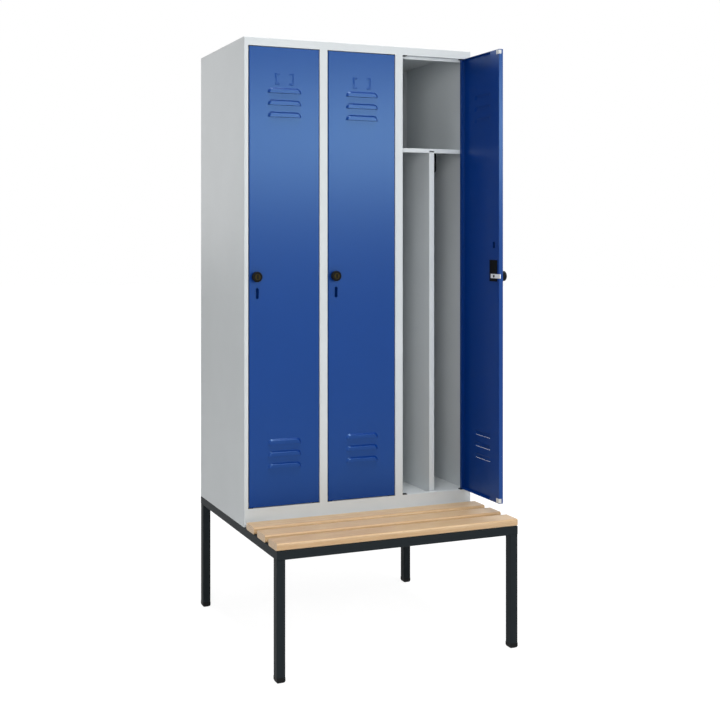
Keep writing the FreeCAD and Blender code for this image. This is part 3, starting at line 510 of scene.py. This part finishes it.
class LOCKER_OT_press_louvres(bpy.types.Operator):
    """Gives the louvres and the card guides of the doors their drawn, softly rounded skins"""

    bl_idname = "locker.press_louvres"
    bl_label = "Press louvres"

    ROWS = 3
    CORNER_STEPS = 10
    SLOPE_STEPS = 10
    SMOOTH_DEGREES = 50
    # The skin lies this far over the sheet, and its foot sinks into the sheet by a share of that.
    SKIN = 0.2 * MM
    FOOT_SINK = 0.5
    # Shares of a louvre's slope: the reach of its foot, its softness and the flat band round its crest.
    FOOT_REACH = 0.1
    SOFTNESS = 0.4
    CREST_BAND = 0.12
    # Half section of a guide's rib, from its foot to its crest, in shares of its half width and its rise.
    GUIDE_SIDE = ((1.0, 0.0), (0.85, 0.25), (0.7, 0.75), (0.55, 1.0))

    def execute(self, context):
        hardware = context.scene.locker_hardware
        blue = bpy.data.materials[BLUE_COAT]
        for bay in BAYS:
            low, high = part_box(f"door_{bay}_panel")
            pivot = Vector(JOINTS[f"door_{bay}_hinge"]["pos_m"])
            pivot.z = low.z
            wide = (high - low).x > (high - low).y
            turn = Matrix.Rotation(0 if wide else QUARTER_TURN, 4, "Z")
            face = (pivot.y - low.y if wide else high.x - pivot.x) - hardware.louvre_depth
            rows = [hardware.louvre_bottom + hardware.louvre_pitch * row for row in range(self.ROWS)]
            top = (high - low).z - hardware.louvre_top - hardware.louvre_height
            rows += [top - hardware.louvre_pitch * row for row in range(self.ROWS)]
            points = [pivot + turn @ Vector((-hardware.louvre_axis, -face, row)) for row in rows]
            mesh = finish_mesh("louvre_skin", self.skin(hardware), turn, blue, self.SMOOTH_DEGREES)
            set_copies(f"door_{bay}_louvre_skins", new_object("louvre_skin", mesh), points, blue,
                       f"door_{bay}")
            card = top + hardware.louvre_height + hardware.card_gap
            place = Matrix.Translation(pivot + turn @ Vector((-hardware.louvre_axis, -face, card))) @ turn
            name = f"door_{bay}_card_guides"
            mesh = finish_mesh(name, self.guides(hardware), place, blue, self.SMOOTH_DEGREES)
            piece = new_object(name, mesh)
            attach(piece, f"door_{bay}")
        return {"FINISHED"}

    def guides(self, hardware):
        """Two soft ribs that hold a name card, each a bracket open towards the other."""
        shape = bmesh.new()
        half_rib = hardware.guide_width / 2
        low, high = hardware.card_bar / 2, hardware.card_height - hardware.card_bar / 2
        upright = (hardware.card_width - hardware.card_bar) / 2
        tip = hardware.card_width / 2 - hardware.card_tab
        foot = -self.SKIN * self.FOOT_SINK
        section = [(-share, height) for share, height in self.GUIDE_SIDE] + list(reversed(self.GUIDE_SIDE))
        for way in (-1, 1):
            lines = []
            for share, height in section:
                aside, crest = half_rib * share, hardware.guide_rise * height + foot
                path = (
                    (tip - half_rib, foot, low - aside), (tip, crest, low - aside),
                    (upright + aside, crest, low - aside), (upright + aside, crest, high + aside),
                    (tip, crest, high + aside), (tip - half_rib, foot, high + aside),
                )
                lines.append([shape.verts.new((way * x, -out, z)) for x, out, z in path])
            self.join(shape, lines)
        bmesh.ops.recalc_face_normals(shape, faces=shape.faces)
        return shape

    @staticmethod
    def join(shape, lines):
        """Adds the faces between each line of points and the next."""
        for here, there in zip(lines, lines[1:]):
            for at in range(len(here) - 1):
                shape.faces.new((here[at], here[at + 1], there[at + 1], there[at]))

    def outline(self, hardware, ends, top, inset):
        """Edge of a louvre, lower left to lower right, at an inset from 0 at its foot to 1 at its crest."""
        half = hardware.louvre_width / 2 - ends * inset
        tall = hardware.louvre_height - top * inset
        radius = hardware.louvre_corner - top * inset
        right = arc((half - radius, tall - radius), radius, 90, 0, self.CORNER_STEPS) + [(half, 0)]
        return [(-x, z) for x, z in reversed(right)] + right

    def skin(self, hardware):
        """Drawn sheet of a louvre: a hood outside, a shallow hollow inside and the cut lower edge between them."""
        shape = bmesh.new()
        hood, hollow = [], []
        for step in range(self.SLOPE_STEPS + 1):
            share = step / self.SLOPE_STEPS
            smooth = eased(share)
            lift = self.SKIN * (-self.FOOT_SINK if step == 0 else 1)
            rise = share + self.SOFTNESS * (smooth - share)
            hood.append((share * (1 + self.FOOT_REACH) - self.FOOT_REACH, -hardware.louvre_depth * rise - lift))
            hollow.append((share, hardware.sheet - hardware.hollow_depth * smooth + lift))
        # A narrow flat band round the crest keeps its middle flat to the light.
        for levels in (hood, hollow):
            levels.append((1 + self.CREST_BAND, levels[-1][1]))
        slope = hardware.louvre_height - hardware.louvre_crest
        outer = self.drawn_side(shape, hardware, hardware.louvre_draft, slope, hood)
        inner = self.drawn_side(shape, hardware, hardware.hollow_ends, hardware.hollow_top, hollow)
        self.join(shape, [outer, inner])
        bmesh.ops.recalc_face_normals(shape, faces=shape.faces)
        return shape

    def drawn_side(self, shape, hardware, ends, top, levels):
        """Adds one side of a louvre from (inset, depth) levels and gives the points of its lower edge."""
        rings = []
        for inset, depth in levels:
            edge = self.outline(hardware, ends, top, inset)
            rings.append([shape.verts.new((x, depth, z)) for x, z in edge])
        self.join(shape, rings)
        shape.faces.new(rings[-1])
        return [ring[0] for ring in rings] + [ring[-1] for ring in reversed(rings)]


class LOCKER_OT_fit_screws(bpy.types.Operator):
    """Sets the slat screws and the cabinet bolts under the side rails"""

    bl_idname = "locker.fit_screws"
    bl_label = "Fit screws"

    TURN_STEPS = 24
    ROUND_STEPS = 6
    # The socket's radius is a share of the head's, and the radius of its floor a share of its own.
    SOCKET = 0.4
    SOCKET_FLOOR = 0.8
    # The level of the socket's floor and the rounding of the head are shares of the head's rise.
    SOCKET_LEVEL = 0.45
    HEAD_ROUND = 0.7
    # What an eased edge leaves of a washer's radius and thickness, and of a bolt head's radius and depth.
    WASHER_EASE = (0.97, 0.9)
    BOLT_EASE = (0.88, 0.94)
    BOLT_SIDES = 6
    BOLT_SMOOTH_DEGREES = 20

    def execute(self, context):
        hardware = context.scene.locker_hardware
        zinc = bpy.data.materials[ZINC_STEEL]
        slats = [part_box(f"slat_{where}") for where in ("front", "middle", "rear")]
        slat_rows = [(low.y + high.y) / 2 for low, high in slats]
        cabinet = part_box("side_wall_left")
        bolt_rows = [cabinet[0].y + hardware.bolt_inset, cabinet[1].y - hardware.bolt_inset]
        screws, bolts = [], []
        for side in ("left", "right"):
            low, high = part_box(f"side_rail_{side}")
            middle = (low.x + high.x) / 2
            screws += [(middle, row, low.z) for row in slat_rows]
            bolts += [(middle, row, low.z) for row in bolt_rows]
        set_copies("slat_screws", self.screw_head(hardware, zinc), screws, zinc, "cabinet")
        set_copies("cabinet_bolts", self.bolt_head(hardware, zinc), bolts, zinc, "cabinet")
        return {"FINISHED"}

    def screw_head(self, hardware, material):
        """Pan head that points down, with a round socket."""
        radius, rise = hardware.screw_head / 2, hardware.screw_rise
        socket, level, curve = radius * self.SOCKET, -rise * self.SOCKET_LEVEL, rise * self.HEAD_ROUND
        profile = [(0, level), (socket * self.SOCKET_FLOOR, level), (socket, -rise)]
        profile += arc((radius - curve, curve - rise), curve, -90, 0, self.ROUND_STEPS)
        profile += [(radius, 0), (0, 0)]
        mesh = finish_mesh("screw_head", lathe(profile, self.TURN_STEPS), Matrix(), material)
        return new_object("screw_head", mesh)

    def bolt_head(self, hardware, material):
        """Hexagon head on a washer, pointing down."""
        washer, plate = hardware.washer / 2, hardware.washer_rise
        flat, edge = self.WASHER_EASE
        profile = [(0, -plate), (washer * flat, -plate), (washer, -plate * edge), (washer, 0), (0, 0)]
        shape = lathe(profile, self.TURN_STEPS)
        across = hardware.bolt_flats / math.sqrt(3)
        top, bottom = -plate, -plate - hardware.bolt_rise
        flat, edge = self.BOLT_EASE
        corners = [math.tau * corner / self.BOLT_SIDES for corner in range(self.BOLT_SIDES)]
        rings = []
        for reach, height in ((across, top), (across, bottom * edge), (across * flat, bottom)):
            rings.append([shape.verts.new((reach * math.cos(a), reach * math.sin(a), height)) for a in corners])
        for upper, lower in zip(rings, rings[1:]):
            for corner in range(self.BOLT_SIDES):
                shape.faces.new((upper[corner - 1], lower[corner - 1], lower[corner], upper[corner]))
        shape.faces.new(rings[-1])
        bmesh.ops.recalc_face_normals(shape, faces=shape.faces)
        mesh = finish_mesh("bolt_head", shape, Matrix(), material, self.BOLT_SMOOTH_DEGREES)
        return new_object("bolt_head", mesh)


class LOCKER_OT_turn_knobs(bpy.types.Operator):
    """Turns a waisted knob with its spindle and the face of a cylinder for each lock"""

    bl_idname = "locker.turn_knobs"
    bl_label = "Turn knobs"

    TURN_STEPS = 64
    NECK_STEPS = 10
    RIM_STEPS = 4
    ROUND_STEPS = 8
    FACE_STEPS = 72
    # Gap that keeps a knob off its door and a cylinder off its knob.
    CLEAR = 0.3 * MM

    def execute(self, context):
        hardware = context.scene.locker_hardware
        black = bpy.data.materials[BLACK_NYLON]
        brass = bpy.data.materials[DULL_BRASS]
        for bay in BAYS:
            joint = JOINTS[f"lock_{bay}_turn"]
            outward = -Vector(joint["axis"])
            centre = Vector(joint["pos_m"])
            place = Matrix.Translation(centre) @ outward.to_track_quat("Z", "Y").to_matrix().to_4x4()
            tip, shelf = self.ends(f"lock_{bay}_knob", centre, outward)
            _, face = self.ends(f"lock_{bay}_cylinder", centre, outward)
            _, front = self.ends(f"door_{bay}_panel", centre, outward)
            core_low, core_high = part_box(f"lock_{bay}_cylinder")
            radius = (core_high - core_low).z / 2
            bore, seat = radius + hardware.knob_play, front - hardware.louvre_depth
            shape = lathe(self.profile(hardware, bore, seat, shelf, face, tip), self.TURN_STEPS)
            name = f"lock_{bay}_turned_knob"
            piece = new_object(name, finish_mesh(name, shape, place, black))
            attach(piece, f"lock_{bay}")
            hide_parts(f"lock_{bay}_knob")
            upright = 0 if abs(outward.y) > abs(outward.x) else QUARTER_TURN
            shape = self.cylinder(hardware, radius, shelf, face)
            name = f"lock_{bay}_turned_cylinder"
            piece = new_object(name, finish_mesh(name, shape, place @ Matrix.Rotation(upright, 4, "Z"), brass))
            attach(piece, f"lock_{bay}")
            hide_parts(f"lock_{bay}_cylinder")
        return {"FINISHED"}

    @staticmethod
    def ends(node, centre, outward):
        """Inner and outer end of a node along a lock's axis."""
        return sorted((corner - centre).dot(outward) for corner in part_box(node))

    def cylinder(self, hardware, radius, shelf, face):
        """Face of a lock cylinder with an eased edge and a keyway through it."""
        shape = bmesh.new()
        base, ease = shelf + self.CLEAR, hardware.knob_rim / 2
        wide, tall = hardware.key_width / 2, hardware.key_height / 2
        levels = []
        for step in range(self.FACE_STEPS):
            turn = math.tau * step / self.FACE_STEPS
            across, up = math.cos(turn), math.sin(turn)
            keyway = 1 / max(abs(across) / wide, abs(up) / tall)
            section = ((radius, base), (radius, face - ease), (radius - ease, face), (keyway, face), (keyway, base))
            levels.append([shape.verts.new((reach * across, reach * up, height)) for reach, height in section])
        for here, there in zip(levels, levels[1:] + levels[:1]):
            for at in range(len(here)):
                shape.faces.new((here[at - 1], here[at], there[at], there[at - 1]))
        bmesh.ops.recalc_face_normals(shape, faces=shape.faces)
        return shape

    def profile(self, hardware, bore, seat, shelf, face, tip):
        """Half section of a knob from the shelf under the cylinder's face round to the spindle's tip."""
        rim, head, neck = hardware.knob_rim, hardware.knob_head, hardware.knob_neck
        curve, foot = hardware.knob_round, seat + self.CLEAR
        points = [(0, shelf), (bore, shelf), (bore, face - rim)]
        points += arc((bore + rim, face - rim), rim, 180, 90, self.RIM_STEPS)[1:]
        points += arc((head - curve, face - curve), curve, 90, 0, self.ROUND_STEPS)
        under = face - curve - hardware.knob_grip
        for step in range(self.NECK_STEPS + 1):
            share = step / self.NECK_STEPS
            points.append((head + (neck - head) * eased(share), under + (foot - under) * share))
        return points + [(hardware.spindle, foot), (hardware.spindle, tip), (0, tip)]


class LOCKER_OT_set_stage(bpy.types.Operator):
    """Sets the floor, the room, the softboxes and the camera"""

    bl_idname = "locker.set_stage"
    bl_label = "Set stage"

    FLOOR_REACH = 30.0
    FLOOR_SIDES = 96
    # Between these distances from the middle, the floor's glow goes from dim, where a shadow shows, to white.
    SHADOW_REACH = (1.5, 4.5)
    FLOOR_GLOW = (0.9, 1.0)
    FLOOR_SHADE = 0.3
    CAMERA_REACH = 100
    # Name, place, target, width and height, and the studio's setting for the power.
    SOFTBOXES = (
        ("Front softbox", (1.3, -3.45, 2.14), (0.0, -0.1, 1.6), (2.6, 0.5), "front_power"),
        ("Fill softbox", (-2.5, -4.0, 2.2), (0.2, 0.0, 1.2), (1.5, 2.0), "fill_power"),
        ("Overhead softbox", (0.0, -1.0, 6.5), (0.0, -0.6, 0.0), (3.0, 3.0), "top_power"),
        ("Rim softbox", (-1.65, 3.65, 2.2), (-0.45, 0.15, 1.7), (1.4, 1.8), "rim_power"),
    )

    def execute(self, context):
        studio = context.scene.locker_studio
        context.scene.view_settings.view_transform = "Standard"
        self.lay_floor(studio)
        self.light_room(context, studio)
        for name, place, target, size, power in self.SOFTBOXES:
            self.softbox(name, place, target, size, getattr(studio, power))
        self.place_camera(context, studio)
        return {"FINISHED"}

    @staticmethod
    def seen(tree):
        """1 for rays that show the background: those of the camera, of mirrors and of glass."""
        path = tree.nodes.new("ShaderNodeLightPath").outputs
        ray = path["Is Camera Ray"]
        for kind in ("Is Glossy Ray", "Is Transmission Ray"):
            ray = add(tree, "ShaderNodeMath", {0: ray, 1: path[kind]}, operation="MAXIMUM")
        return ray

    def lay_floor(self, studio):
        """Round floor, white to the eye, that keeps a light shadow and melts into the background far off."""
        shape = bmesh.new()
        bmesh.ops.create_circle(shape, cap_ends=True, segments=self.FLOOR_SIDES, radius=self.FLOOR_REACH)
        material, tree = new_material("Matt white floor")
        plain = add(tree, "ShaderNodeBsdfDiffuse", {"Color": opaque(studio.floor)})
        shade = add(tree, "ShaderNodeBsdfDiffuse", {"Color": opaque(studio.floor, self.FLOOR_SHADE)})
        place = add(tree, "ShaderNodeTexCoord", out="Object")
        distance = add(tree, "ShaderNodeVectorMath", {0: place}, out="Value", operation="LENGTH")
        near, far = self.SHADOW_REACH
        dim, bright = self.FLOOR_GLOW
        strength = add(tree, "ShaderNodeMapRange", {
            "Value": distance, "From Min": near, "From Max": far, "To Min": dim, "To Max": bright,
        })
        glow = add(tree, "ShaderNodeEmission", {"Color": opaque(WHITE), "Strength": strength})
        white = add(tree, "ShaderNodeAddShader", {0: shade, 1: glow})
        both = add(tree, "ShaderNodeMixShader", {0: self.seen(tree), 1: plain, 2: white})
        add(tree, "ShaderNodeOutputMaterial", {"Surface": both})
        new_object("studio_floor", finish_mesh("studio_floor", shape, Matrix(), material))

    def light_room(self, context, studio):
        """Even light from all round, with a white background."""
        world = bpy.data.worlds.new("White room")
        context.scene.world = world
        world.use_nodes = True
        tree = world.node_tree
        tree.nodes.clear()
        even = add(tree, "ShaderNodeBackground", {"Color": opaque(WHITE), "Strength": studio.ambient})
        white = add(tree, "ShaderNodeBackground", {"Color": opaque(WHITE), "Strength": 1.0})
        both = add(tree, "ShaderNodeMixShader", {0: self.seen(tree), 1: even, 2: white})
        add(tree, "ShaderNodeOutputWorld", {"Surface": both})

    @staticmethod
    def softbox(name, place, target, size, power):
        """Rectangular lamp that points at a target."""
        lamp = bpy.data.lights.new(name, "AREA")
        lamp.shape = "RECTANGLE"
        lamp.size, lamp.size_y = size
        lamp.energy = power
        holder = new_object(name, lamp)
        holder.location = place
        holder.rotation_euler = (Vector(target) - Vector(place)).to_track_quat("-Z", "Y").to_euler()

    def place_camera(self, context, studio):
        """Level camera whose shifted lens keeps uprights upright."""
        data = bpy.data.cameras.new("Camera")
        data.lens = studio.lens
        data.shift_x, data.shift_y = studio.shift
        data.clip_end = self.CAMERA_REACH
        camera = new_object("Camera", data)
        camera.location = studio.eye
        camera.rotation_euler = (QUARTER_TURN, 0, -studio.turn)
        context.scene.camera = camera


STEPS = (
    LOCKER_OT_paint_sheet,
    LOCKER_OT_finish_slats,
    LOCKER_OT_finish_plastics,
    LOCKER_OT_finish_metals,
    LOCKER_OT_press_louvres,
    LOCKER_OT_fit_screws,
    LOCKER_OT_turn_knobs,
    LOCKER_OT_set_stage,
)


class LOCKER_PT_sidebar(bpy.types.Panel):
    """Lists the steps that dress the locker and the settings that they use."""

    bl_idname = "LOCKER_PT_sidebar"
    bl_label = "Clothes locker"
    bl_space_type = "VIEW_3D"
    bl_region_type = "UI"
    bl_category = "Locker"

    def draw(self, context):
        for step in STEPS:
            self.layout.operator(step.bl_idname)
        for group in GROUPS:
            values = getattr(context.scene, group)
            box = self.layout.box()
            for name in values.__annotations__:
                box.prop(values, name)


CLASSES = (*GROUPS.values(), *STEPS, LOCKER_PT_sidebar)


def register():
    """Makes the classes and the scene's settings known."""
    for kind in CLASSES:
        bpy.utils.register_class(kind)
    for name, kind in GROUPS.items():
        setattr(bpy.types.Scene, name, PointerProperty(type=kind))


def unregister():
    """Takes the scene's settings and the classes away."""
    for name in GROUPS:
        delattr(bpy.types.Scene, name)
    for kind in reversed(CLASSES):
        bpy.utils.unregister_class(kind)


def main():
    """Dresses the locker."""
    register()
    for step in STEPS:
        group, name = step.bl_idname.split(".")
        getattr(getattr(bpy.ops, group), name)()


if __name__ == "__main__":
    main()
